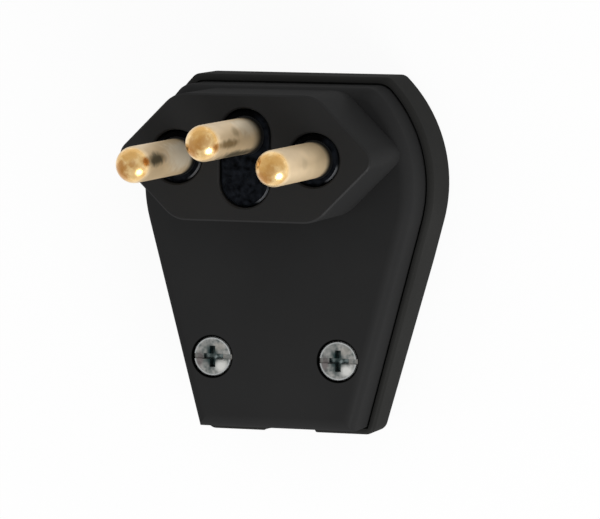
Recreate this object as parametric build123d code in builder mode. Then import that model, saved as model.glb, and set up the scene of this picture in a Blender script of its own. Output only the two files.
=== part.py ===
from build123d import *
from math import acos, asin, atan2, cos, degrees, hypot, radians, sin, sqrt, tan
import os

# Three-pin plug, wired by its user, with the cord leaving at the side.
# It lies on its back with the pins up: +Z runs along the pins, +Y points to the flat top edge,
# the back face is on Z = 0 and the origin is under the middle of the body. Millimetres.

# Pins
pin_diameter = 4.8
pin_reach = 19.0
pin_spacing = 19.0
earth_offset = 3.0
pin_root_diameter = 5.2
pin_head_diameter = 6.2
pin_head_length = 10.0
pin_head_chamfer = 0.4

# Outline of the front cover, measured from the pin row
cover_rise = 8.9
cover_reach = 37.6
shoulder_radius = 19.0
shoulder_drop = 4.65
foot_width = 21.9
top_corner_radius = 2.6

# Covers
body_depth = 16.0
ledge_height = 9.1
rear_lip = 1.1
tongue_depth = 1.0
tongue_gap = 0.25
front_wall = 1.8
front_plate = 2.2
rear_wall = 2.2
rear_corner_radius = 1.4
rear_floor = 3.0
slope_start = 15.0
slope_rise = 2.0
inner_corner_radius = 0.8
face_rounding = 1.6
rim_rounding = 0.7
back_rounding = 1.2
hook_spacing = 16.0
hook_width = 3.0
hook_depth = 1.8
hook_thickness = 1.2
hook_lip = 0.6
hook_lip_height = 0.8
hook_gap = 0.1
hook_root = 3.0

# Boss on the front cover
boss_length = 13.5
boss_width = 36.5
boss_height = 16.9
boss_wall = 1.8
boss_face = 2.0
boss_side_radius = 2.0
boss_corner_radius = 4.0
boss_edge = 0.25
opening_edge = 0.2
opening_radius = 3.6

# Pin carrier
carrier_gap = 0.2
carrier_plate = 2.0
pad_recess = 0.4
pad_gap = 0.2
pad_edge = 0.25
sleeve_wall = 0.7
pin_fit = 0.03
partition_wall = 1.2
partition_offset = 4.6
partition_low = 5.5
carrier_rim = 1.0
carrier_rim_depth = 4.0

# Terminals in the pin heads
wire_window_width = 3.6
wire_window_height = 4.4
wire_window_start = 2.7
terminal_screw_diameter = 3.4
terminal_screw_inset = 0.4
terminal_screw_slot = 0.6
terminal_screw_slot_depth = 0.9
clamp_plate_thickness = 0.4
clamp_plate_width = 3.3
clamp_plate_lip = 1.3
clamp_plate_lift = 0.4
thread_gap = 0.05

# Cover screws and their square nuts
cover_screw_spacing = 17.8
cover_screw_from_edge = 9.6
cover_screw_diameter = 3.0
cover_screw_head_diameter = 5.4
cover_screw_head_height = 1.8
cover_screw_inset = 0.2
cover_screw_seat_gap = 0.15
cover_pillar_radius = 3.0
cover_nut_side = 5.5
cover_nut_thickness = 1.8
cover_nut_roof = 0.9

# Cord outlet and cord clamp
outlet_radius = 3.9
outlet_height = 7.5
clamp_from_edge = 4.0
clamp_width = 3.8
clamp_end_gap = 0.35
clamp_thickness = 2.2
clamp_seat_height = 7.6
clamp_arch_radius = 3.6
clamp_arch_wall = 1.4
clamp_rib_height = 0.5
clamp_rib_width = 0.8
clamp_screw_diameter = 2.5
clamp_screw_head_diameter = 4.2
clamp_screw_head_height = 1.6
clamp_nut_side = 5.0
clamp_nut_thickness = 1.6
clamp_nut_roof = 2.4
screw_hole_gap = 0.15
nut_side_gap = 0.1
nut_slot_gap = 0.2
nut_wall = 0.7
screw_tip = 0.5
screw_edge = 0.15

# Recesses in the screw heads
cross_length = 2.9
cross_width = 0.8
cross_depth = 1.1
cross_taper = 8.0
slot_width = 0.7
slot_depth = 0.5

# Ribs in the rear cover
post_bore_radius = 2.2
rib_wall = 1.2
rib_drop = 3.0
grip_height = 0.8
grip_width = 0.8
grip_pitch = 2.6

# Levels and places worked out from the sizes above
pin_row_y = (cover_reach - cover_rise) / 2
boss_front = body_depth + boss_length
pin_tip = boss_front + pin_reach
pin_radius = pin_diameter / 2
pin_head_radius = pin_head_diameter / 2
seat_height = ledge_height - tongue_depth
ceiling = body_depth - front_plate
carrier_front = boss_front - boss_face
carrier_face = boss_front - pad_recess
carrier_plate_back = carrier_front - carrier_plate
sleeve_radius = pin_root_diameter / 2 + sleeve_wall
pin_head_back = ledge_height + terminal_screw_inset
pin_shoulder = pin_head_back + pin_head_length
window_bottom = pin_head_back + wire_window_start
clamp_plate_bottom = window_bottom + clamp_plate_lift
inside_y = pin_row_y - cover_reach + front_wall
foot_depth = cover_reach - shoulder_drop
side_taper = degrees(atan2(foot_depth, foot_width / 2) - acos(shoulder_radius / hypot(foot_depth, foot_width / 2)))
cover_screw_drop = cover_reach - cover_screw_from_edge
cover_screw_seat = body_depth - cover_screw_inset - cover_screw_head_height
cover_nut_top = seat_height - cover_nut_roof
clamp_drop = cover_reach - clamp_from_edge
clamp_nut_top = clamp_seat_height - clamp_nut_roof
clamp_screw_low = clamp_nut_top - clamp_nut_thickness - screw_tip
inner_grow = rear_lip - rear_wall
fold_y = pin_row_y - slope_start
slope_length = cover_reach + rear_lip - slope_start
carrier_inset = boss_wall + carrier_gap
partition_length = partition_low + boss_height / 2 - carrier_inset
pin_places = {
    "line": (-pin_spacing / 2, 0),
    "neutral": (pin_spacing / 2, 0),
    "earth": (0, earth_offset),
}
sides = {"left": -1, "right": 1}


def row_plane(height):
    """Level plane whose origin is under the middle of the pin row."""
    return Plane((0, pin_row_y, height))


def upright_plane(x, y):
    """Upright plane through a point given from the pin row: its own y axis is the height."""
    return Plane((x, pin_row_y + y, 0), x_dir=(1, 0, 0), z_dir=(0, -1, 0))


def side_half_width(y, grow):
    """Half the body's width at y on its tapered sides, with the outline moved outwards by grow."""
    tangent_x = (shoulder_radius + grow) * cos(radians(side_taper))
    tangent_y = -shoulder_drop - (shoulder_radius + grow) * sin(radians(side_taper))
    return tangent_x - (tangent_y - y) * tan(radians(side_taper))


def body_outline(grow, top_radius, bottom_radius):
    """Outline of the body, moved outwards by grow: flat top, round shoulders, tapered sides.

    A radius of 0 leaves the two corners at that end sharp.
    """
    radius = shoulder_radius + grow
    top = cover_rise + grow
    bottom = -cover_reach - grow
    corner_angle = degrees(asin((top + shoulder_drop) / radius))
    top_half = radius * cos(radians(corner_angle))
    tangent_x = radius * cos(radians(side_taper))
    tangent_y = -shoulder_drop - radius * sin(radians(side_taper))
    bottom_half = side_half_width(bottom, grow)
    with BuildSketch() as outline:
        with BuildLine():
            Line((0, top), (top_half, top))
            CenterArc((0, -shoulder_drop), radius, corner_angle, -corner_angle - side_taper)
            Line((tangent_x, tangent_y), (bottom_half, bottom))
            Line((bottom_half, bottom), (0, bottom))
            mirror(about=Plane.YZ)
        make_face()
        if top_radius:
            fillet(outline.vertices().group_by(Axis.Y)[-1], radius=top_radius)
        if bottom_radius:
            fillet(outline.vertices().group_by(Axis.Y)[0], radius=bottom_radius)
    return outline.sketch


def boss_outline(inset, side_radius, corner_radius):
    """Long six-sided outline of the boss with 45 degree sides, moved inwards by inset."""
    half_height = boss_height / 2 - inset
    half_width = boss_width / 2 - inset * sqrt(2)
    flat_half = half_width - half_height
    with BuildSketch() as outline:
        Polygon(
            (half_width, 0),
            (flat_half, half_height),
            (-flat_half, half_height),
            (-half_width, 0),
            (-flat_half, -half_height),
            (flat_half, -half_height),
            align=None,
        )
        fillet(outline.vertices().filter_by(lambda v: abs(v.Y) < 0.1), radius=side_radius)
        fillet(outline.vertices().filter_by(lambda v: abs(v.Y) > half_height - 0.1), radius=corner_radius)
    return outline.sketch


def opening_outline(inset):
    """The two round pin openings and the slot between them, made smaller by inset."""
    radius = opening_radius - inset
    with BuildSketch() as outline:
        with Locations((-pin_spacing / 2, 0), (pin_spacing / 2, 0)):
            Circle(radius)
        SlotCenterToCenter(2 * earth_offset, 2 * radius, rotation=90)
    return outline.sketch


def cut_outlet():
    """Cuts the round cord outlet out of the lower wall of the cover being built."""
    with BuildSketch(Plane((0, inside_y, outlet_height), z_dir=(0, -1, 0))) as circle:
        Circle(outlet_radius)
    extrude(circle.sketch, amount=2 * (front_wall + rear_lip), mode=Mode.SUBTRACT)


def round_at(x, y, radius, low, high, mode=Mode.ADD):
    """Upright round post or hole, placed from the pin row, in the part being built."""
    with BuildSketch(row_plane(low)) as disc:
        with Locations((x, y)):
            Circle(radius)
    extrude(disc.sketch, amount=high - low, mode=mode)


# Front cover: shell with the boss, pin openings, screw pillars and its share of the cord outlet
cover_screw_places = [(s * cover_screw_spacing / 2, -cover_screw_drop) for s in sides.values()]
hook_places = [(s * hook_spacing / 2, cover_rise + inner_grow - hook_gap) for s in sides.values()]
clamp_half_length = side_half_width(-clamp_drop - clamp_width / 2, -front_wall) - clamp_end_gap
clamp_spacing = 2 * clamp_half_length - clamp_screw_head_diameter
clamp_places = [(s * clamp_spacing / 2, -clamp_drop) for s in sides.values()]

with BuildPart() as front_cover:
    with BuildSketch(row_plane(seat_height)):
        add(body_outline(0, top_corner_radius, 0))
    extrude(amount=body_depth - seat_height)
    fillet(front_cover.faces().sort_by(Axis.Z)[-1].edges(), radius=face_rounding)
    with BuildSketch(row_plane(ceiling)):
        add(boss_outline(0, boss_side_radius, boss_corner_radius))
    extrude(amount=boss_front - ceiling)
    chamfer(front_cover.faces().sort_by(Axis.Z)[-1].edges(), length=boss_edge)
    with BuildSketch(row_plane(seat_height)):
        add(body_outline(-front_wall, inner_corner_radius, inner_corner_radius))
    extrude(amount=ceiling - seat_height, mode=Mode.SUBTRACT)
    with BuildSketch(row_plane(ceiling)):
        add(boss_outline(boss_wall, inner_corner_radius, inner_corner_radius))
    extrude(amount=carrier_front - ceiling, mode=Mode.SUBTRACT)
    with BuildSketch(row_plane(carrier_front)):
        add(opening_outline(0))
    extrude(amount=boss_face, mode=Mode.SUBTRACT)
    chamfer(front_cover.faces().sort_by(Axis.Z)[-1].inner_wires().edges(), length=opening_edge)
    # two hooks under the flat top edge, which catch in the rear cover
    with BuildSketch(row_plane(seat_height - hook_depth)):
        with Locations(*hook_places):
            Rectangle(hook_width, hook_thickness, align=(Align.CENTER, Align.MAX))
    extrude(amount=hook_depth + hook_root)
    with BuildSketch(row_plane(seat_height - hook_depth)):
        with Locations(*hook_places):
            Rectangle(hook_width, hook_lip, align=(Align.CENTER, Align.MIN))
    extrude(amount=hook_lip_height)
    for x, y in cover_screw_places:
        round_at(x, y, cover_pillar_radius, seat_height, ceiling)
        seat_radius = cover_screw_head_diameter / 2 + cover_screw_seat_gap
        round_at(x, y, seat_radius, cover_screw_seat, body_depth, Mode.SUBTRACT)
        hole_radius = cover_screw_diameter / 2 + screw_hole_gap
        round_at(x, y, hole_radius, seat_height, cover_screw_seat, Mode.SUBTRACT)
    cut_outlet()
front_cover.part.label = "front_cover"

# Rear cover: deep shell with a rim round the front cover, nut blocks, posts behind the pins
block_half = cover_nut_side / 2 + nut_side_gap + nut_wall
clamp_block_half = clamp_nut_side / 2 + nut_side_gap + nut_wall


def wall_to_wall(shapes):
    """Keeps what lies inside the rear cover's wall of the rectangles (x, y, width, height) given."""
    with BuildSketch() as sketch:
        for x, y, width, height in shapes:
            with Locations((x, y)):
                Rectangle(width, height)
        add(body_outline(inner_grow / 2, inner_corner_radius, inner_corner_radius), mode=Mode.INTERSECT)
    return sketch.sketch


def cut_nut_slot(x, y, side, thickness, top):
    """Cuts a slot for a square nut, open towards the middle, in the cover being built."""
    slot_side = side + 2 * nut_side_gap
    low = top - thickness - nut_slot_gap
    toward_middle = -slot_side / 2 if x > 0 else slot_side / 2
    with BuildSketch(row_plane(low)) as slot:
        with Locations((x, y), (x + toward_middle, y)):
            Rectangle(slot_side, slot_side)
    extrude(slot.sketch, amount=top - low, mode=Mode.SUBTRACT)


with BuildPart() as rear_cover:
    with BuildSketch(row_plane(0)):
        add(body_outline(rear_lip, rear_corner_radius, rear_corner_radius))
    extrude(amount=ledge_height)
    # the back slopes away towards the cord end, and the fold between its two faces stays sharp
    with BuildSketch(Plane.YZ):
        Polygon((fold_y, 0), (fold_y - 2 * slope_length, 0), (fold_y - 2 * slope_length, 2 * slope_rise), align=None)
    extrude(amount=2 * shoulder_radius, both=True, mode=Mode.SUBTRACT)
    back_edges = rear_cover.faces().filter_by(lambda face: face.normal_at().Z < -0.5).edges()
    fillet(back_edges.filter_by(lambda edge: abs(edge.center().Y - fold_y) > 0.1), radius=back_rounding)
    fillet(rear_cover.faces().sort_by(Axis.Z)[-1].edges(), radius=rim_rounding)
    with BuildSketch(row_plane(seat_height)):
        add(body_outline(tongue_gap, top_corner_radius, 0))
    extrude(amount=tongue_depth, mode=Mode.SUBTRACT)
    with BuildSketch(row_plane(rear_floor)):
        add(body_outline(inner_grow, inner_corner_radius, inner_corner_radius))
    extrude(amount=seat_height - rear_floor, mode=Mode.SUBTRACT)
    # blocks that hold the square nuts, joined to the side walls
    with BuildSketch(row_plane(rear_floor)):
        inner_edge = cover_screw_spacing / 2 - block_half
        width = shoulder_radius - inner_edge
        add(wall_to_wall([(s * (inner_edge + width / 2), -cover_screw_drop, width, 2 * block_half)
                          for s in sides.values()]))
    extrude(amount=seat_height - rear_floor)
    with BuildSketch(row_plane(rear_floor)):
        width = shoulder_radius - outlet_radius
        add(wall_to_wall([(s * (outlet_radius + width / 2), -clamp_drop, width, 2 * clamp_block_half)
                          for s in sides.values()]))
    extrude(amount=clamp_seat_height - rear_floor)
    # ribs under the carrier's partitions, and a low rib that joins the posts
    with BuildSketch(row_plane(rear_floor)):
        with Locations(*[(s * partition_offset, -partition_low) for s in sides.values()]):
            Rectangle(partition_wall, partition_length, align=(Align.CENTER, Align.MIN))
    extrude(amount=pin_head_back - rear_floor)
    with BuildSketch(row_plane(rear_floor)):
        Rectangle(pin_spacing, rib_wall)
    extrude(amount=ledge_height - rib_drop - rear_floor)
    for x, y in pin_places.values():
        round_at(x, y, pin_head_radius, rear_floor, pin_head_back)
        round_at(x, y, post_bore_radius, rear_floor, pin_head_back, Mode.SUBTRACT)
    # ridges under the cord
    with BuildSketch(row_plane(rear_floor)):
        with Locations(*[(0, grip * grip_pitch - clamp_drop) for grip in (-0.5, 0.5)]):
            Rectangle(2 * outlet_radius, grip_width)
    extrude(amount=grip_height)
    cut_outlet()
    for x, y in cover_screw_places:
        cut_nut_slot(x, y, cover_nut_side, cover_nut_thickness, cover_nut_top)
        hole_radius = cover_screw_diameter / 2 + screw_hole_gap
        round_at(x, y, hole_radius, rear_floor, seat_height, Mode.SUBTRACT)
    for x, y in clamp_places:
        cut_nut_slot(x, y, clamp_nut_side, clamp_nut_thickness, clamp_nut_top)
        hole_radius = clamp_screw_diameter / 2 + screw_hole_gap
        round_at(x, y, hole_radius, clamp_screw_low - screw_hole_gap, clamp_seat_height, Mode.SUBTRACT)
    # pockets for the front cover's hooks
    with BuildSketch(row_plane(seat_height - hook_depth - hook_gap)):
        with Locations(*hook_places):
            Rectangle(hook_width + 2 * hook_gap, hook_lip + 2 * hook_gap, align=(Align.CENTER, Align.MIN))
    extrude(amount=hook_lip_height + 2 * hook_gap, mode=Mode.SUBTRACT)
rear_cover.part.label = "rear_cover"

# Pin carrier: plate with pads in the openings, a sleeve round each pin, partitions between the poles
with BuildPart() as pin_carrier:
    with BuildSketch(row_plane(carrier_plate_back)):
        add(boss_outline(carrier_inset, inner_corner_radius, inner_corner_radius))
    extrude(amount=carrier_plate)
    with BuildSketch(row_plane(carrier_plate_back - carrier_rim_depth)):
        add(boss_outline(carrier_inset, inner_corner_radius, inner_corner_radius))
        add(boss_outline(carrier_inset + carrier_rim, inner_corner_radius, inner_corner_radius), mode=Mode.SUBTRACT)
    extrude(amount=carrier_rim_depth)
    with BuildSketch(row_plane(carrier_front)):
        add(opening_outline(pad_gap))
    extrude(amount=carrier_face - carrier_front)
    chamfer(pin_carrier.faces().group_by(Axis.Z)[-1].edges(), length=pad_edge)
    with BuildSketch(row_plane(pin_head_back)):
        with Locations(*[(s * partition_offset, -partition_low) for s in sides.values()]):
            Rectangle(partition_wall, partition_length, align=(Align.CENTER, Align.MIN))
    extrude(amount=carrier_plate_back - pin_head_back)
    for x, y in pin_places.values():
        round_at(x, y, sleeve_radius, pin_shoulder, carrier_plate_back)
    for x, y in pin_places.values():
        round_at(x, y, pin_root_diameter / 2 + pin_fit, pin_shoulder, carrier_face, Mode.SUBTRACT)
pin_carrier.part.label = "pin_carrier"


def make_pin(pole, x, y):
    """Turned pin with a domed tip, a thicker root in the carrier and a head with the wire window."""
    with BuildPart() as pin:
        with BuildSketch(upright_plane(x, y)):
            with BuildLine():
                profile = Polyline(
                    (0, pin_tip),
                    (0, pin_head_back),
                    (pin_head_radius - pin_head_chamfer, pin_head_back),
                    (pin_head_radius, pin_head_back + pin_head_chamfer),
                    (pin_head_radius, pin_shoulder),
                    (pin_root_diameter / 2, pin_shoulder),
                    (pin_root_diameter / 2, carrier_face),
                    (pin_radius, carrier_face),
                    (pin_radius, pin_tip - pin_radius),
                )
                RadiusArc(profile @ 1, (0, pin_tip), -pin_radius)
            make_face()
        revolve(axis=Axis((x, pin_row_y + y, 0), (0, 0, 1)))
        with BuildSketch(upright_plane(x, y)):
            with Locations((0, window_bottom + wire_window_height / 2)):
                Rectangle(wire_window_width, wire_window_height)
        extrude(amount=pin_head_diameter, both=True, mode=Mode.SUBTRACT)
        hole = terminal_screw_diameter / 2 + thread_gap
        round_at(x, y, hole, pin_head_back, window_bottom, Mode.SUBTRACT)
    pin.part.label = pole + "_pin"
    return pin.part


def make_terminal_screw(pole, x, y):
    """Headless screw with a slot in its back end, which presses on the clamp plate."""
    low = pin_head_back + terminal_screw_inset
    with BuildPart() as screw:
        round_at(x, y, terminal_screw_diameter / 2, low, clamp_plate_bottom)
        with BuildSketch(row_plane(low)):
            with Locations((x, y)):
                Rectangle(terminal_screw_diameter, terminal_screw_slot)
        extrude(amount=terminal_screw_slot_depth, mode=Mode.SUBTRACT)
    screw.part.label = pole + "_terminal_screw"
    return screw.part


def make_clamp_plate(pole, x, y):
    """Small plate between screw and strands, with a lip over each side of the pin's head."""
    low = clamp_plate_bottom - clamp_plate_lip
    outer = pin_head_diameter + 2 * (thread_gap + clamp_plate_thickness)
    inner = pin_head_diameter + 2 * thread_gap
    with BuildPart() as plate:
        with BuildSketch(row_plane(low)):
            with Locations((x, y)):
                Rectangle(clamp_plate_width, outer)
        extrude(amount=clamp_plate_lip + clamp_plate_thickness)
        with BuildSketch(row_plane(low)):
            with Locations((x, y)):
                Rectangle(clamp_plate_width, inner)
        extrude(amount=clamp_plate_lip, mode=Mode.SUBTRACT)
    plate.part.label = pole + "_clamp_plate"
    return plate.part


def make_head_screw(label, x, y, diameter, low, head_diameter, head_height, seat):
    """Cheese-head screw from low to its head on the seat, with a cross recess and a slot across the head."""
    top = seat + head_height
    with BuildPart() as screw:
        round_at(x, y, head_diameter / 2, seat, top)
        chamfer(screw.edges().group_by(Axis.Z)[-1], length=screw_edge)
        with BuildSketch(row_plane(top - slot_depth)):
            with Locations((x, y)):
                Rectangle(head_diameter, slot_width)
        extrude(amount=slot_depth, mode=Mode.SUBTRACT)
        with BuildSketch(row_plane(top)):
            with Locations((x, y)):
                Rectangle(cross_length, cross_width)
                Rectangle(cross_width, cross_length)
        extrude(amount=-cross_depth, taper=cross_taper, mode=Mode.SUBTRACT)
        round_at(x, y, diameter / 2, low, seat)
        chamfer(screw.edges().group_by(Axis.Z)[0], length=screw_edge)
    screw.part.label = label
    return screw.part


def make_nut(label, x, y, side, thickness, top, screw_diameter):
    """Square nut, flat under the roof of its slot."""
    with BuildPart() as nut:
        with BuildSketch(row_plane(top - thickness)):
            with Locations((x, y)):
                Rectangle(side, side)
                Circle(screw_diameter / 2 + thread_gap, mode=Mode.SUBTRACT)
        extrude(amount=thickness)
    nut.part.label = label
    return nut.part


# Cord clamp: a bar arched over the cord, with two ribs that grip it
with BuildPart() as cord_clamp:
    with BuildSketch(upright_plane(0, -clamp_drop)):
        with Locations((0, clamp_seat_height)):
            Rectangle(2 * clamp_half_length, clamp_thickness, align=(Align.CENTER, Align.MIN))
        with Locations((0, outlet_height)):
            Circle(clamp_arch_radius + clamp_arch_wall)
            Circle(clamp_arch_radius, mode=Mode.SUBTRACT)
        with Locations((0, clamp_seat_height)):
            Rectangle(4 * clamp_half_length, 2 * clamp_half_length,
                      align=(Align.CENTER, Align.MAX), mode=Mode.SUBTRACT)
    extrude(amount=clamp_width / 2, both=True)
    with BuildSketch(upright_plane(0, -clamp_drop)):
        with Locations((0, outlet_height)):
            Circle(clamp_arch_radius + clamp_arch_wall / 2)
            Circle(clamp_arch_radius - clamp_rib_height, mode=Mode.SUBTRACT)
        with Locations((0, clamp_seat_height)):
            Rectangle(4 * clamp_half_length, 2 * clamp_half_length,
                      align=(Align.CENTER, Align.MAX), mode=Mode.SUBTRACT)
    extrude(amount=clamp_rib_width / 2, both=True)
    for x, y in clamp_places:
        hole_radius = clamp_screw_diameter / 2 + screw_hole_gap
        round_at(x, y, hole_radius, clamp_seat_height, clamp_seat_height + clamp_thickness, Mode.SUBTRACT)
cord_clamp.part.label = "cord_clamp"

pieces = [front_cover.part, rear_cover.part, pin_carrier.part, cord_clamp.part]
for pole, (x, y) in pin_places.items():
    pieces.append(make_pin(pole, x, y))
    pieces.append(make_terminal_screw(pole, x, y))
    pieces.append(make_clamp_plate(pole, x, y))
for side, (x, y) in zip(sides, cover_screw_places):
    low = cover_nut_top - cover_nut_thickness - screw_tip
    pieces.append(make_head_screw("cover_screw_" + side, x, y, cover_screw_diameter, low,
                                  cover_screw_head_diameter, cover_screw_head_height, cover_screw_seat))
    pieces.append(make_nut("cover_nut_" + side, x, y, cover_nut_side, cover_nut_thickness,
                           cover_nut_top, cover_screw_diameter))
for side, (x, y) in zip(sides, clamp_places):
    pieces.append(make_head_screw("cord_clamp_screw_" + side, x, y, clamp_screw_diameter, clamp_screw_low,
                                  clamp_screw_head_diameter, clamp_screw_head_height,
                                  clamp_seat_height + clamp_thickness))
    pieces.append(make_nut("cord_clamp_nut_" + side, x, y, clamp_nut_side, clamp_nut_thickness,
                           clamp_nut_top, clamp_screw_diameter))

os.makedirs("parts", exist_ok=True)
for piece in pieces:
    export_step(piece, "parts/" + piece.label + ".step")
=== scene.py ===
# %% [markdown]
# A three-pin plug, wired by its user, with its cord outlet at the side. The shape comes from a
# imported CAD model, and this script gives it its finishes, the light and the camera. The plug
# lies on its back: +Z runs along the pins and +Y points to the flat top edge. Sizes are metres.

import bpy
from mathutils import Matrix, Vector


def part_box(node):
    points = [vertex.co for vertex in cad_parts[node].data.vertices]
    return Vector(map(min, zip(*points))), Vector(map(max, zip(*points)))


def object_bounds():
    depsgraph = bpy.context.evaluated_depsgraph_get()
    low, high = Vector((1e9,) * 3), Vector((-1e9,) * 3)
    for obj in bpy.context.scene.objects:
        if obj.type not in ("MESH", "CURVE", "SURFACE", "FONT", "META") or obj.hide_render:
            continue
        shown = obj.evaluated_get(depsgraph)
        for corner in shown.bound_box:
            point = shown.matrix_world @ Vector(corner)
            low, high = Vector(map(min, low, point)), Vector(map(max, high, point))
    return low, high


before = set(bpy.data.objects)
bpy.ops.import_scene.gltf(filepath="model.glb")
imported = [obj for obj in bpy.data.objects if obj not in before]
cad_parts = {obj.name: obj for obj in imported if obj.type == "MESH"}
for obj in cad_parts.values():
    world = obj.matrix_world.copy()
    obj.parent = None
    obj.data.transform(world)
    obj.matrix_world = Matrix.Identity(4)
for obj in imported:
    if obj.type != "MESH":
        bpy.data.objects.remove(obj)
cad_low, cad_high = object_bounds()
print("nodes:", len(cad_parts),
      "size in mm:", [round(s * 1000, 2) for s in cad_high - cad_low])

# %% [markdown]
# A few places are needed again and again: the middle of the body, the tips of the pins, and
# the front of the boss that the pins stand out of. All are read from the CAD nodes.

# %% Modules and places
import math

import bmesh
import bpy
from mathutils import Matrix, Vector

MM = 0.001
scene = bpy.context.scene
scene.view_settings.view_transform = "Standard"


def centre_of(node):
    """Middle of a CAD node's box."""
    low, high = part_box(node)
    return (low + high) / 2


body_middle = (cad_low + cad_high) / 2
pin_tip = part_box("line_pin")[1].z
boss_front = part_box("front_cover")[1].z
print("pins stand", round((pin_tip - boss_front) / MM, 2), "mm out of the boss")

# %% [markdown]
# The camera looks down on the plug from a little above its top edge and well to the right, so
# the pins lean to the left in the picture. A long lens far away gives the flat perspective of
# a product photograph. Three angles say this better than a matrix: a turn about the plug's
# long axis, a lift towards the top edge, and a roll that is almost nothing.

# %% Camera
view_turn = math.radians(17.52)
view_lift = math.radians(5.08)
view_roll = math.radians(0.29)
view_distance = 663.03 * MM
view_target = Vector((3.54, -0.06, 16.0)) * MM
lens_length = 295.66

turn = Matrix.Rotation(view_turn, 3, "Y") @ Matrix.Rotation(-view_lift, 3, "X")
turn = turn @ Matrix.Rotation(view_roll, 3, "Z")
camera_data = bpy.data.cameras.new("camera")
camera_data.lens = lens_length
camera_data.clip_start = 0.01
camera_data.clip_end = 10
camera = bpy.data.objects.new("camera", camera_data)
camera.location = view_target + turn @ Vector((0, 0, view_distance))
camera.rotation_euler = turn.to_euler()
scene.collection.objects.link(camera)
scene.camera = camera
print("camera at", [round(c, 3) for c in camera.location])

# %% [markdown]
# A shader tree is easier to read when each node is one line. The first helper makes a node and
# sets its sockets by name. The second one joins an output to an input. The third one starts a
# material with the three nodes that all of them share.

# %% Node helpers
def add_node(tree, kind, values=None, **settings):
    """New shader node with its settings and the values of its input sockets."""
    node = tree.nodes.new(kind)
    for name, value in settings.items():
        setattr(node, name, value)
    for name, value in (values or {}).items():
        node.inputs[name].default_value = value
    return node


def join(tree, source, target):
    """Link from an output socket to an input socket."""
    tree.links.new(source, target)


def new_material(name):
    """Node material with an output, a Principled shader and Object coordinates."""
    material = bpy.data.materials.new(name)
    material.use_nodes = True
    tree = material.node_tree
    tree.nodes.clear()
    output = add_node(tree, "ShaderNodeOutputMaterial")
    shader = add_node(tree, "ShaderNodeBsdfPrincipled")
    place = add_node(tree, "ShaderNodeTexCoord")
    join(tree, shader.outputs["BSDF"], output.inputs["Surface"])
    return material, tree, shader, place.outputs["Object"]


print("helpers:", [helper.__name__ for helper in (add_node, join, new_material)])

# %% [markdown]
# The plug lies on a plain pale floor. The floor's own colour makes the background white, and
# for rays that come straight from the camera, a reflection or a clear body, part of it glows
# at a strength of 1. It stays white in that way without more light on the plug, and the
# rest of it still takes the plug's shadow.

# %% Floor
floor_size = 6.0
floor_colour = (0.93, 0.93, 0.93, 1)
floor_mottle = (0.91, 0.91, 0.91, 1)
floor_glow_share = 0.93
floor_roughness = 0.9
mottle_scale = 40.0

floor_material, tree, floor_shader, place = new_material("pale_floor")
output = tree.nodes["Material Output"]
floor_shader.inputs["Roughness"].default_value = floor_roughness
floor_shader.inputs["Specular IOR Level"].default_value = 0.0
mottle = add_node(tree, "ShaderNodeTexNoise", {"Scale": mottle_scale, "Detail": 3.0})
tint = add_node(tree, "ShaderNodeMix", data_type="RGBA")
tint.inputs["A"].default_value = floor_colour
tint.inputs["B"].default_value = floor_mottle
glow = add_node(tree, "ShaderNodeEmission", {"Color": (1, 1, 1, 1), "Strength": 1.0})
path = add_node(tree, "ShaderNodeLightPath")
seen = add_node(tree, "ShaderNodeMath", operation="MAXIMUM")
seen_or_clear = add_node(tree, "ShaderNodeMath", operation="MAXIMUM")
share = add_node(tree, "ShaderNodeMath", {1: floor_glow_share}, operation="MULTIPLY")
mix = add_node(tree, "ShaderNodeMixShader")
join(tree, place, mottle.inputs["Vector"])
join(tree, mottle.outputs["Fac"], tint.inputs["Factor"])
join(tree, tint.outputs["Result"], floor_shader.inputs["Base Color"])
join(tree, path.outputs["Is Camera Ray"], seen.inputs[0])
join(tree, path.outputs["Is Glossy Ray"], seen.inputs[1])
join(tree, seen.outputs[0], seen_or_clear.inputs[0])
join(tree, path.outputs["Is Transmission Ray"], seen_or_clear.inputs[1])
join(tree, seen_or_clear.outputs[0], share.inputs[0])
join(tree, share.outputs[0], mix.inputs[0])
join(tree, floor_shader.outputs["BSDF"], mix.inputs[1])
join(tree, glow.outputs[0], mix.inputs[2])
join(tree, mix.outputs[0], output.inputs["Surface"])

floor_mesh = bpy.data.meshes.new("floor")
builder = bmesh.new()
bmesh.ops.create_grid(builder, x_segments=1, y_segments=1, size=floor_size / 2)
builder.to_mesh(floor_mesh)
builder.free()
floor_mesh.materials.append(floor_material)
floor = bpy.data.objects.new("floor", floor_mesh)
scene.collection.objects.link(floor)
print("floor", floor_size, "m wide")

# %% [markdown]
# The studio is a pale room, almost even all round, which keeps the satin pins flat in tone. It
# is a little greyer overhead than at the horizon.

# %% World
ceiling_grey = 0.72
horizon_grey = 0.80
# how steeply upwards a direction points where the one grey ends and the other begins
horizon_top = 0.15
ceiling_start = 0.9

world = bpy.data.worlds.new("studio")
world.use_nodes = True
tree = world.node_tree
tree.nodes.clear()
world_output = add_node(tree, "ShaderNodeOutputWorld")
room = add_node(tree, "ShaderNodeBackground", {"Strength": 1.0})
direction = add_node(tree, "ShaderNodeTexCoord")
split = add_node(tree, "ShaderNodeSeparateXYZ")
height = add_node(tree, "ShaderNodeMapRange")
height.inputs["From Min"].default_value = horizon_top
height.inputs["From Max"].default_value = ceiling_start
height.inputs["To Min"].default_value = horizon_grey
height.inputs["To Max"].default_value = ceiling_grey
join(tree, direction.outputs["Generated"], split.inputs[0])
join(tree, split.outputs["Z"], height.inputs["Value"])
join(tree, height.outputs["Result"], room.inputs["Color"])
join(tree, room.outputs[0], world_output.inputs["Surface"])
scene.world = world
print("room from", horizon_grey, "at the horizon to", ceiling_grey, "overhead")

# %% [markdown]
# One small soft lamp, low at the lower right of the picture, puts the white highlight on each
# dome.

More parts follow.
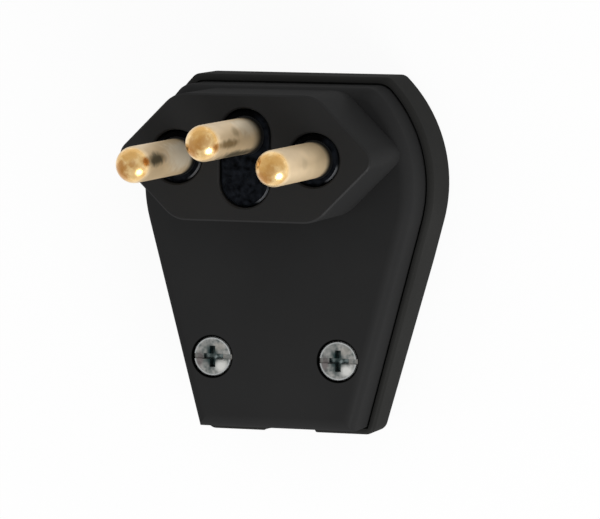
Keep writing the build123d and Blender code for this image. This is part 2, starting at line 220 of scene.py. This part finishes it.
# %% Lamp
lamp_target = Vector((body_middle.x, body_middle.y, boss_front))


def add_lamp(name, direction, distance, size, power):
    """Round soft lamp that looks at the plug from a direction."""
    data = bpy.data.lights.new(name, "AREA")
    data.shape = "DISK"
    data.size = size
    data.energy = power
    lamp = bpy.data.objects.new(name, data)
    towards = Vector(direction).normalized()
    lamp.location = lamp_target + towards * distance
    lamp.rotation_euler = towards.to_track_quat("Z", "Y").to_euler()
    scene.collection.objects.link(lamp)
    return lamp


low_lamp = add_lamp("low_lamp", direction=(0.62, -0.68, 0.39), distance=0.40, size=0.26, power=1.0)
print("lamp at", [round(c, 2) for c in low_lamp.location])

# %% [markdown]
# Every finish here has a fine unevenness. Moulded plastic copies the spark-eroded surface of
# its mould, and metal has blotches and hairlines. One group makes the grain: two noises of
# different size, put out as a height for a Bump node and as a slow variation for the colour
# and the roughness. Each material places it with its own scale.

# %% Shared grain group
blotch_noise_low = 0.3
blotch_noise_high = 0.7


def new_group(name, inputs, outputs):
    """Empty node group with its two ends. Sockets are pairs of a name and Float or Vector."""
    group = bpy.data.node_groups.new(name, "ShaderNodeTree")
    for in_out, sockets in (("INPUT", inputs), ("OUTPUT", outputs)):
        for socket, kind in sockets:
            group.interface.new_socket(socket, in_out=in_out, socket_type="NodeSocket" + kind)
    return group, add_node(group, "NodeGroupInput"), add_node(group, "NodeGroupOutput")


def make_grain_group():
    """Fine grain and slow blotches, from a position in metres."""
    group, inside, outside = new_group(
        "surface_grain",
        [("Position", "Vector"), ("Grain Scale", "Float"), ("Blotch Scale", "Float")],
        [("Height", "Float"), ("Blotches", "Float")])
    grain = add_node(group, "ShaderNodeTexNoise", {"Detail": 4.0, "Roughness": 0.6})
    blotch = add_node(group, "ShaderNodeTexNoise", {"Detail": 2.0, "Roughness": 0.5})
    spread = add_node(group, "ShaderNodeMapRange")
    spread.inputs["From Min"].default_value = blotch_noise_low
    spread.inputs["From Max"].default_value = blotch_noise_high
    join(group, inside.outputs["Position"], grain.inputs["Vector"])
    join(group, inside.outputs["Grain Scale"], grain.inputs["Scale"])
    join(group, inside.outputs["Position"], blotch.inputs["Vector"])
    join(group, inside.outputs["Blotch Scale"], blotch.inputs["Scale"])
    join(group, blotch.outputs["Fac"], spread.inputs["Value"])
    join(group, grain.outputs["Fac"], outside.inputs["Height"])
    join(group, spread.outputs["Result"], outside.inputs["Blotches"])
    return group


grain_group = make_grain_group()


def add_grain(tree, position, grain_scale, blotch_scale):
    """Places the grain group in a material."""
    node = add_node(tree, "ShaderNodeGroup", node_tree=grain_group)
    node.inputs["Grain Scale"].default_value = grain_scale
    node.inputs["Blotch Scale"].default_value = blotch_scale
    join(tree, position, node.inputs["Position"])
    return node


print("group:", grain_group.name)

# %% [markdown]
# Stains and worn places all use one group: a soft spot with a ragged edge. It takes a middle
# and a size along each axis, in metres, and gives 1 inside the spot and 0 outside it.

# %% Shared soft spot
# The noise is added to the distance from the spot's middle, which is counted in sizes of the
# spot. Up to the first sum the mask is 1, and from the second one it is 0.
spot_full = 0.85
spot_gone = 1.75


def make_spot_group():
    """Mask of an ellipsoid whose edge is broken up by noise."""
    group, inside, outside = new_group(
        "soft_spot",
        [("Position", "Vector"), ("Middle", "Vector"), ("Size", "Vector"),
         ("Grain Scale", "Float")],
        [("Mask", "Float")])
    away = add_node(group, "ShaderNodeVectorMath", operation="SUBTRACT")
    scaled = add_node(group, "ShaderNodeVectorMath", operation="DIVIDE")
    ragged = add_node(group, "ShaderNodeTexNoise", {"Detail": 3.0})
    far = add_node(group, "ShaderNodeVectorMath", operation="LENGTH")
    shifted = add_node(group, "ShaderNodeMath", operation="ADD")
    mask = add_node(group, "ShaderNodeMapRange", interpolation_type="SMOOTHSTEP")
    mask.inputs["From Min"].default_value = spot_gone
    mask.inputs["From Max"].default_value = spot_full
    join(group, inside.outputs["Position"], away.inputs[0])
    join(group, inside.outputs["Middle"], away.inputs[1])
    join(group, away.outputs[0], scaled.inputs[0])
    join(group, inside.outputs["Size"], scaled.inputs[1])
    join(group, scaled.outputs[0], far.inputs[0])
    join(group, inside.outputs["Position"], ragged.inputs["Vector"])
    join(group, inside.outputs["Grain Scale"], ragged.inputs["Scale"])
    join(group, far.outputs["Value"], shifted.inputs[0])
    join(group, ragged.outputs["Fac"], shifted.inputs[1])
    join(group, shifted.outputs[0], mask.inputs["Value"])
    join(group, mask.outputs["Result"], outside.inputs["Mask"])
    return group


spot_group = make_spot_group()


def add_spot(tree, place, middle, size, grain_scale=900.0):
    """Mask socket of one soft spot."""
    node = add_node(tree, "ShaderNodeGroup", node_tree=spot_group)
    node.inputs["Middle"].default_value = middle
    node.inputs["Size"].default_value = size
    node.inputs["Grain Scale"].default_value = grain_scale
    join(tree, place, node.inputs["Position"])
    return node.outputs["Mask"]


print("group:", spot_group.name)

# %% [markdown]
# The materials below only mix colours by masks. These helpers give each step a name, and each
# one hands back the socket that the next step reads.

# %% Mixing helpers
def connect_or_set(tree, value, socket):
    """Links another node's socket, or sets a plain number or colour."""
    if isinstance(value, bpy.types.NodeSocket):
        join(tree, value, socket)
    else:
        socket.default_value = value


def add_colour_mix(tree, factor, first, second):
    """Mix of two colours: each one is three numbers or another node's socket."""
    mix = add_node(tree, "ShaderNodeMix", data_type="RGBA")
    join(tree, factor, mix.inputs["Factor"])
    for socket, colour in ((mix.inputs["A"], first), (mix.inputs["B"], second)):
        connect_or_set(tree, (*colour, 1) if isinstance(colour, tuple) else colour, socket)
    return mix.outputs["Result"]


def add_product(tree, first, second):
    """A value times a number or another value."""
    node = add_node(tree, "ShaderNodeMath", operation="MULTIPLY")
    join(tree, first, node.inputs[0])
    connect_or_set(tree, second, node.inputs[1])
    return node.outputs[0]


def add_range(tree, value, low, high):
    """Value from 0 to 1, spread between two other values."""
    node = add_node(tree, "ShaderNodeMapRange", {"To Min": low, "To Max": high})
    join(tree, value, node.inputs["Value"])
    return node.outputs["Result"]


def smooth_step(tree, value, first, second):
    """0 at the first value and before it, 1 at the second and past it, smooth between them."""
    mask = add_node(tree, "ShaderNodeMapRange", interpolation_type="SMOOTHSTEP")
    mask.inputs["From Min"].default_value = first
    mask.inputs["From Max"].default_value = second
    join(tree, value, mask.inputs["Value"])
    return mask.outputs["Result"]


def height_mask(tree, place, first, second):
    """Smooth step between two heights."""
    split = add_node(tree, "ShaderNodeSeparateXYZ")
    join(tree, place, split.inputs[0])
    return smooth_step(tree, split.outputs["Z"], first, second)


def distance_mask(tree, place, middle, first, second):
    """Smooth step between two distances from an upright line through a point."""
    away = add_node(tree, "ShaderNodeVectorMath", {1: middle}, operation="SUBTRACT")
    level = add_node(tree, "ShaderNodeVectorMath", {1: (1, 1, 0)}, operation="MULTIPLY")
    far = add_node(tree, "ShaderNodeVectorMath", operation="LENGTH")
    join(tree, place, away.inputs[0])
    join(tree, away.outputs[0], level.inputs[0])
    join(tree, level.outputs[0], far.inputs[0])
    return smooth_step(tree, far.outputs["Value"], first, second)


def add_bump(tree, shader, height, strength, distance):
    """Bump from a height, on the shader's normal."""
    node = add_node(tree, "ShaderNodeBump", {"Strength": strength, "Distance": distance})
    join(tree, height, node.inputs["Height"])
    join(tree, node.outputs["Normal"], shader.inputs["Normal"])


print("masks:", [mask.__name__ for mask in (height_mask, distance_mask)])

# %% [markdown]
# Both covers are black thermosetting plastic, pressed in a polished mould that has worn dull.
# The colour is almost nothing, so what shows is the sheen. A thin clear coat gives it, weaker
# than bare plastic, so that walls seen edge-on stay nearly as dark as the face.

# %% Black plastic
plastic_roughness = (0.42, 0.50)
plastic_bump = 0.25
coat_roughness = 0.30
edge_fade = 0.02 * MM
patch_grain = 1500.0
# a light patch painted on a pad's cut edge: a painted highlight of the low lamp
painted_highlight_size = (1.5 * MM, 1.5 * MM, 1.5 * MM)
painted_highlight_tone = (0.22, 0.23, 0.25)
# deeper black painted at a pad's top: the painted shadow of the opening's edge
painted_shadow_size = (3.4 * MM, 1.8 * MM, 3.4 * MM)
painted_shadow_tone = (0.0002, 0.0002, 0.0003)
seat_ring_full = 0.04 * MM
seat_ring_gone = 0.16 * MM
seat_tone = (0.001, 0.001, 0.001)

screw_low, screw_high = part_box("cover_screw_left")
head_radius = (screw_high.x - screw_low.x) / 2
seat_radius = head_radius + 0.15 * MM


def black_plastic(name, dark, light, grain_scale, grain_depth, blotch_scale=90.0, coat=0.05,
                  edge=None, painted_highlights=(), painted_shadows=(), seats=()):
    """Black moulded plastic with a slow change of tone, a fine grain and a weak coat.

    An edge is two heights and a weight: the coat has that weight in the band between them.
    Painted highlights are the middles of lighter places in that band, and painted shadows those
    of deeper black ones anywhere; round each seat there is a thin ring of deeper black.
    """
    material, tree, shader, place = new_material(name)
    grain = add_grain(tree, place, grain_scale, blotch_scale)
    blotches = grain.outputs["Blotches"]
    tone = add_colour_mix(tree, blotches, dark, light)
    join(tree, add_range(tree, blotches, *plastic_roughness), shader.inputs["Roughness"])
    shader.inputs["Specular IOR Level"].default_value = 0.0
    shader.inputs["Coat Weight"].default_value = coat
    shader.inputs["Coat Roughness"].default_value = coat_roughness
    if edge:
        edge_low, edge_high, edge_coat = edge
        above = height_mask(tree, place, edge_low - edge_fade, edge_low)
        below = height_mask(tree, place, edge_high + edge_fade, edge_high)
        band = add_product(tree, above, below)
        join(tree, add_range(tree, band, coat, edge_coat), shader.inputs["Coat Weight"])
        # painted highlights, only inside the cut-edge band
        for middle in painted_highlights:
            spot = add_spot(tree, place, middle, painted_highlight_size, patch_grain)
            tone = add_colour_mix(tree, add_product(tree, spot, band), tone, painted_highlight_tone)
    # painted shadows of the openings' edges
    for middle in painted_shadows:
        spot = add_spot(tree, place, middle, painted_shadow_size, patch_grain)
        tone = add_colour_mix(tree, spot, tone, painted_shadow_tone)
    for middle in seats:
        ring = distance_mask(tree, place, middle, seat_radius + seat_ring_gone,
                             seat_radius + seat_ring_full)
        tone = add_colour_mix(tree, ring, tone, seat_tone)
    join(tree, tone, shader.inputs["Base Color"])
    add_bump(tree, shader, grain.outputs["Height"], plastic_bump, grain_depth)
    return material


print("seat rings of", round(seat_radius / MM, 2), "mm")

# %% [markdown]
# The carrier behind the openings is bluer than the covers, with a pebbled face. The cut edges of
# the boss and of the carrier's pads shine more. Each pad has a painted highlight, a light patch on
# its cut edge at the lower right where the low lamp glints, and a painted shadow of the opening's
# edge, a deeper black at its top, both placed from the pin that stands in it. The pad of the earth
# pin is long and fills the slot, so its painted highlight lies further down.

# %% Finishes of the plastic
pad_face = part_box("pin_carrier")[1].z
# two heights in the cut edge and the weight of the coat between them
pad_edge = (pad_face - 0.24 * MM, pad_face - 0.03 * MM, 1.0)
boss_edge = (boss_front - 0.22 * MM, boss_front - 0.05 * MM, 0.13)

# offsets from a pin to its pad's painted highlight at the lower right and painted shadow at the top
highlight_right, highlight_drop = 2.7 * MM, 2.0 * MM
shadow_left, shadow_rise = 0.6 * MM, 3.3 * MM
slot_drop = 6.0 * MM
pad_painted_highlights = []
pad_painted_shadows = []
for node, drop in (("line_pin", 0.0), ("earth_pin", slot_drop), ("neutral_pin", 0.0)):
    middle = centre_of(node)
    pad_painted_highlights.append((middle.x + highlight_right, middle.y - (drop + highlight_drop), pad_face))
    pad_painted_shadows.append((middle.x - shadow_left, middle.y + shadow_rise, pad_face))

cover_screws = ("cover_screw_left", "cover_screw_right")
cover_grain = {"grain_scale": 9000.0, "grain_depth": 0.02 * MM}
finishes = {
    "front_cover": black_plastic(
        "black_cover_face", (0.0208, 0.0209, 0.0211), (0.0228, 0.0229, 0.0230), **cover_grain,
        coat=0.045, edge=boss_edge, seats=[centre_of(screw) for screw in cover_screws]),
    "rear_cover": black_plastic(
        "black_cover_back", (0.0180, 0.0180, 0.0172), (0.0215, 0.0215, 0.0205), **cover_grain),
    # the carrier's pads take painted highlights and painted shadows
    "pin_carrier": black_plastic(
        "blue_black_carrier", (0.0003, 0.0005, 0.0009), (0.0095, 0.0115, 0.0155),
        grain_scale=3000.0, grain_depth=0.12 * MM, blotch_scale=1100.0, coat=0.04,
        edge=pad_edge, painted_highlights=pad_painted_highlights, painted_shadows=pad_painted_shadows),
    "cord_clamp": black_plastic(
        "black_clamp", (0.010, 0.010, 0.010), (0.014, 0.014, 0.014),
        grain_scale=6000.0, grain_depth=0.03 * MM),
}
print("plastics:", [material.name for material in finishes.values()])

# %% [markdown]
# The pins are turned brass. Their stains, and the light and shade painted on the shanks, are
# placed as the camera sees them: on the shank by how far across it they lie and how high, on the
# dome by how far right and up.

# %% Places on a pin
pin_radius = 2.4 * MM
dome_start = pin_tip - pin_radius
towards_camera = turn @ Vector((0, 0, 1))
near = Vector((towards_camera.x, towards_camera.y, 0)).normalized()
across = Vector((near.y, -near.x, 0))


def shank_point(node, side, height):
    """Point on the seen side of a pin's shank, some way across it and at a height."""
    middle = centre_of(node)
    point = Vector((middle.x, middle.y, height))
    return point + across * side + near * math.sqrt(pin_radius ** 2 - side ** 2)


def dome_point(node, right, up):
    """Point on a pin's dome as the camera sees it, in dome radii from the dome's middle."""
    middle = centre_of(node)
    outward = turn @ Vector((right, up, math.sqrt(1 - right ** 2 - up ** 2)))
    return Vector((middle.x, middle.y, dome_start)) + outward * pin_radius


print("dome starts at", round(dome_start / MM, 2), "mm")

# %% [markdown]
# The shanks are tumbled to a pale satin, while the dome is burnished by the sockets it goes
# into, so it is deeper in colour and smoother. A mask over the height, taken from the dome's
# own start, changes from one to the other. The shank is painted black at its root: a painted
# reflection of the dark boss, which is all it mirrors there.

# %% Brass
shank_tones = ((0.66, 0.50, 0.30), (0.78, 0.60, 0.37))
dome_tones = ((0.74, 0.45, 0.15), (0.99, 0.72, 0.36))
# painted reflection: the black painted on each shank's root, where it mirrors the dark boss
painted_root_reflection = (0.006, 0.006, 0.006)
brass_grain = 2600.0
shank_blotches = 420.0
dome_blotches = 800.0
drawn_scale = (1, 1, 0.45)
dome_fade_low = dome_start + 0.5 * MM
dome_fade_high = dome_start + 1.2 * MM
root_below_boss = 0.3 * MM
shank_stain_depth = 1.6 * MM
dome_stain_grain = 1600.0
# each pair: on the shank, then on the dome
brass_metallic = (0.55, 1.0)
brass_roughness = (0.44, 0.23)
dome_coat = 0.4
dome_coat_roughness = 0.40
brass_bump = 0.15
brass_grain_depth = 0.03 * MM


def pin_brass(name, node, root_length, shank_stains_and_light, dome_stains):
    """Brass that is satin and pale on the shank, deeper on the dome, with this pin's stains, its
    painted light and shade and a painted black root.
    """
    material, tree, shader, place = new_material(name)
    grain = add_grain(tree, place, brass_grain, dome_blotches)
    drawn_out = add_node(tree, "ShaderNodeMapping", {"Scale": drawn_scale})
    join(tree, place, drawn_out.inputs["Vector"])
    patches = add_grain(tree, drawn_out.outputs["Vector"], brass_grain, shank_blotches)
    dome = height_mask(tree, place, dome_fade_low, dome_fade_high)
    shank_tone = add_colour_mix(tree, patches.outputs["Blotches"], *shank_tones)
    dome_tone = add_colour_mix(tree, grain.outputs["Blotches"], *dome_tones)
    tone = add_colour_mix(tree, dome, shank_tone, dome_tone)
    # stains, painted brightening and painted shade on the shank
    for side, height, wide, long, colour, strength in shank_stains_and_light:
        spot = add_spot(tree, place, shank_point(node, side * MM, height * MM),
                        (shank_stain_depth, wide * MM, long * MM))
        tone = add_colour_mix(tree, add_product(tree, spot, strength), tone, colour)
    for right, up, size, colour, strength in dome_stains:
        spot = add_spot(tree, place, dome_point(node, right, up),
                        (size * MM, size * MM, size * MM), dome_stain_grain)
        tone = add_colour_mix(tree, add_product(tree, spot, strength), tone, colour)
    # painted black root, a painted reflection of the dark boss
    root = height_mask(tree, place, boss_front - root_below_boss, boss_front + root_length * MM)
    tone = add_colour_mix(tree, root, painted_root_reflection, tone)
    join(tree, tone, shader.inputs["Base Color"])
    join(tree, add_range(tree, dome, *brass_metallic), shader.inputs["Metallic"])
    join(tree, add_range(tree, dome, *brass_roughness), shader.inputs["Roughness"])
    join(tree, add_product(tree, dome, dome_coat), shader.inputs["Coat Weight"])
    shader.inputs["Coat Roughness"].default_value = dome_coat_roughness
    add_bump(tree, shader, grain.outputs["Height"], brass_bump, brass_grain_depth)
    return material


print("brass:", len(shank_tones), "tones on the shank,", len(dome_tones), "on the dome")

# %% [markdown]
# Each pin has its own stains and painted light and shade. The line pin's shank has a painted
# brightening low down, in place of reflected light, and a dark streak that is a painted
# reflection of the earth pin. The earth pin has a painted brightening, brown streaks, and a dark
# band along its edge that is painted shade from the neutral pin. The shank of the neutral pin is
# nearly clean. All three domes are stained.

# %% Stains of each pin
# painted shade: on the line pin a painted reflection of the earth pin, on the earth pin painted
# shade from the neutral pin
painted_pin_shade = (0.055, 0.050, 0.030)
umber = (0.24, 0.16, 0.065)
rust = (0.46, 0.19, 0.03)
honey = (0.72, 0.40, 0.11)
# painted brightening: a lighter patch painted low on a shank in place of reflected light
painted_brightening = (0.96, 0.88, 0.72)

# For each pin: how far up its painted black root reaches, in millimetres, then the stains and
# painted light and shade of its shank, and the stains of its dome. A row for the shank is the
# place across it, the height, the half width, the half length (all in millimetres), the colour and
# the strength. A row for the dome is the place to the right and up (in dome radii), the size in
# millimetres, the colour and the strength.
pin_stains_and_painted_light = {
    "line_pin": (
        1.8,
        [(-0.2, 33.5, 2.6, 7.0, painted_brightening, 0.75),
         (0.1, 44.0, 0.95, 3.6, painted_pin_shade, 0.95),
         (0.2, 47.2, 0.55, 0.5, rust, 0.7)],
        [(-0.72, -0.20, 1.3, rust, 0.85),
         (-0.20, 0.55, 1.3, honey, 0.7),
         (0.66, 0.15, 0.75, rust, 0.85),
         (-0.05, 0.02, 0.6, rust, 0.6),
         (-0.62, -0.60, 1.0, rust, 0.7)]),
    "earth_pin": (
        3.8,
        [(-1.2, 34.0, 1.6, 5.0, painted_brightening, 0.5),
         (0.9, 43.0, 0.65, 4.2, umber, 0.9),
         (-0.5, 39.5, 0.8, 1.4, umber, 0.5),
         (2.3, 37.5, 0.75, 7.5, painted_pin_shade, 0.9)],
        [(-0.55, -0.10, 1.2, rust, 0.70),
         (-0.20, 0.55, 1.5, honey, 0.8),
         (0.00, 0.05, 1.0, rust, 0.50),
         (0.62, -0.30, 0.80, rust, 0.6),
         (-0.62, -0.55, 0.9, rust, 0.8)]),
    "neutral_pin": (
        2.2,
        [(0.4, 40.5, 0.8, 1.8, umber, 0.2)],
        [(-0.60, -0.50, 1.3, rust, 0.85),
         (-0.50, 0.25, 1.5, honey, 0.8),
         (0.20, 0.40, 1.3, honey, 0.7),
         (-0.20, -0.10, 0.9, rust, 0.4)]),
}
pin_finishes = {node: pin_brass(node + "_brass", node, *stains_and_light)
                for node, stains_and_light in pin_stains_and_painted_light.items()}
print("pins:", list(pin_finishes))

# %% [markdown]
# The screws are steel with a zinc plating. Their heads are turned, so faint rings run round the
# middle of each head. Light and shade are painted on each head as a domed head lit from the lower
# right would show them, and the recess is darker and a little green, as painted shade, with
# painted glints. The pattern has to be centred on each screw, so each head has its own material,
# made by one function with the screw's place.

# %% Zinc of the cover screws
head_tones = ((0.13, 0.15, 0.145), (0.46, 0.45, 0.43))
# the rim's painted shade and painted highlight, then the recess's painted shade
rim_shade_and_highlight = ((0.34, 0.33, 0.31), (0.56, 0.58, 0.58))
painted_recess_tones = ((0.016, 0.035, 0.036), (0.10, 0.125, 0.12))
glint_tone = (0.34, 0.40, 0.40)
zinc_grain = 2400.0
zinc_blotches = 1700.0
glint_grain = 2500.0
zinc_roughness = (0.30, 0.44)
zinc_metallic = 0.80
# The rim's painted tone comes in between these two distances from the head's edge, and it goes
# from the darker one, painted shade on the side wall down in the gap, to the lighter one, a
# painted highlight on the top edge, between these two depths below the head's top.
rim_starts, rim_full = 0.42 * MM, 0.12 * MM
rim_shaded_depth, rim_lit_depth = 0.16 * MM, 0.06 * MM
# The recess's painted shade fades out over this much below and above its depth.
recess_depth = 0.55 * MM
fade_below, fade_above = 0.2 * MM, 0.1 * MM
# The ring wave turns through 20 radians for each unit of length at a scale of 1.
wave_radians = 20
ring_radian = 0.16 * MM
ring_distortion = 1.2
ring_bump = 0.12
ring_depth = 0.02 * MM
mark_depth = 2 * MM

# Painted light and shade on a head, as a domed head lit from the lower right would show it:
# painted shade over the head, at its left and round the recess, and painted highlights at its
# right, brightest at the lower right. Each mark is listed from the head's middle: the place to the
# right and up, the half width and the half height (all in millimetres), the colour and the
# strength. The painted glints in the recess have one colour.
head_light_and_shade = [
    (-0.30, 0.10, 1.80, 1.90, (0.11, 0.13, 0.125), 0.6),
    (-1.90, -0.40, 0.60, 1.30, (0.16, 0.13, 0.13), 0.7),
    (-0.15, 0.05, 0.95, 1.75, (0.010, 0.030, 0.032), 1.0),
    (1.30, -1.25, 1.05, 0.85, (0.74, 0.74, 0.71), 0.95),
    (1.10, 0.05, 0.75, 0.42, (0.33, 0.31, 0.28), 0.9),
    (0.90, 1.30, 0.90, 0.60, (0.40, 0.38, 0.34), 0.6),
]
recess_glints = [
    (0.20, -0.20, 0.35, 0.35, 0.9),
    (0.95, 0.0, 0.45, 0.5, 0.6),
    (-0.95, 0.1, 0.40, 0.5, 0.5),
]


def zinc_head(name, node):
    """Zinc plating with turned rings about the middle of a screw's head, with painted light and
    shade on the head and painted shade and glints in the recess.
    """
    material, tree, shader, place = new_material(name)
    middle = centre_of(node)
    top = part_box(node)[1].z
    move = add_node(tree, "ShaderNodeMapping", {"Location": (-middle.x, -middle.y, -top)})
    join(tree, place, move.inputs["Vector"])
    centred = move.outputs["Vector"]
    rings = add_node(tree, "ShaderNodeTexWave", wave_type="RINGS", rings_direction="Z")
    rings.inputs["Scale"].default_value = 1 / (ring_radian * wave_radians)
    rings.inputs["Distortion"].default_value = ring_distortion
    join(tree, centred, rings.inputs["Vector"])
    blotches = add_grain(tree, place, zinc_grain, zinc_blotches).outputs["Blotches"]
    tone = add_colour_mix(tree, blotches, *head_tones)
    # painted light and shade of a domed head
    for x, y, wide, high, colour, strength in head_light_and_shade:
        spot = add_spot(tree, centred, (x * MM, y * MM, 0), (wide * MM, high * MM, mark_depth))
        tone = add_colour_mix(tree, add_product(tree, spot, strength), tone, colour)
    # painted shade on the rim's side wall and painted highlight on its top edge
    rim = distance_mask(tree, place, middle, head_radius - rim_starts, head_radius - rim_full)
    upper = height_mask(tree, place, top - rim_shaded_depth, top - rim_lit_depth)
    tone = add_colour_mix(tree, rim, tone, add_colour_mix(tree, upper, *rim_shade_and_highlight))
    open_face = height_mask(tree, place, top - recess_depth - fade_below,
                            top - recess_depth + fade_above)
    # painted shade in the recess, with painted glints
    painted_recess_tone = add_colour_mix(tree, blotches, *painted_recess_tones)
    for x, y, wide, high, strength in recess_glints:
        spot = add_spot(tree, centred, (x * MM, y * MM, 0), (wide * MM, high * MM, mark_depth),
                        glint_grain)
        painted_recess_tone = add_colour_mix(tree, add_product(tree, spot, strength), painted_recess_tone,
                                     glint_tone)
    tone = add_colour_mix(tree, open_face, painted_recess_tone, tone)
    join(tree, tone, shader.inputs["Base Color"])
    join(tree, add_range(tree, blotches, *zinc_roughness), shader.inputs["Roughness"])
    shader.inputs["Metallic"].default_value = zinc_metallic
    add_bump(tree, shader, rings.outputs["Fac"], ring_bump, ring_depth)
    return material


head_finishes = {screw: zinc_head(screw + "_zinc", screw) for screw in cover_screws}
print("screw heads:", list(head_finishes))

# %% [markdown]
# The small parts inside are only seen when the covers are off: zinc-plated nuts and clamp
# screws, and steel terminal screws and plates with a thin yellow passivation.

# %% Metal inside
metal_grain = 3000.0
metal_blotches = 600.0
roughness_spread = 0.06
metal_bump = 0.15
metal_grain_depth = 0.02 * MM


def plain_metal(name, first, second, roughness):
    """Plated metal with soft blotches."""
    material, tree, shader, place = new_material(name)
    grain = add_grain(tree, place, metal_grain, metal_blotches)
    blotches = grain.outputs["Blotches"]
    dullness = add_range(tree, blotches, roughness - roughness_spread, roughness + roughness_spread)
    join(tree, add_colour_mix(tree, blotches, first, second), shader.inputs["Base Color"])
    join(tree, dullness, shader.inputs["Roughness"])
    shader.inputs["Metallic"].default_value = 1.0
    add_bump(tree, shader, grain.outputs["Height"], metal_bump, metal_grain_depth)
    return material


finishes["inner_zinc"] = plain_metal(
    "zinc_inside", (0.42, 0.43, 0.44), (0.60, 0.60, 0.59), roughness=0.34)
finishes["terminal_steel"] = plain_metal(
    "yellow_passivated_steel", (0.52, 0.44, 0.26), (0.66, 0.60, 0.42), roughness=0.32)
print("inner metals:", [finishes[slot].name for slot in ("inner_zinc", "terminal_steel")])

# %% [markdown]
# Each CAD node has one material slot. Its name says which finish the node takes, apart from the
# pins and the cover screws, which have one each.

# %% Give every node its finish
for name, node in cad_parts.items():
    slot_name = node.material_slots[0].name
    finish = head_finishes.get(name) or pin_finishes.get(name) or finishes[slot_name]
    for slot in node.material_slots:
        slot.material = finish
print("dressed nodes:", len(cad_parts))
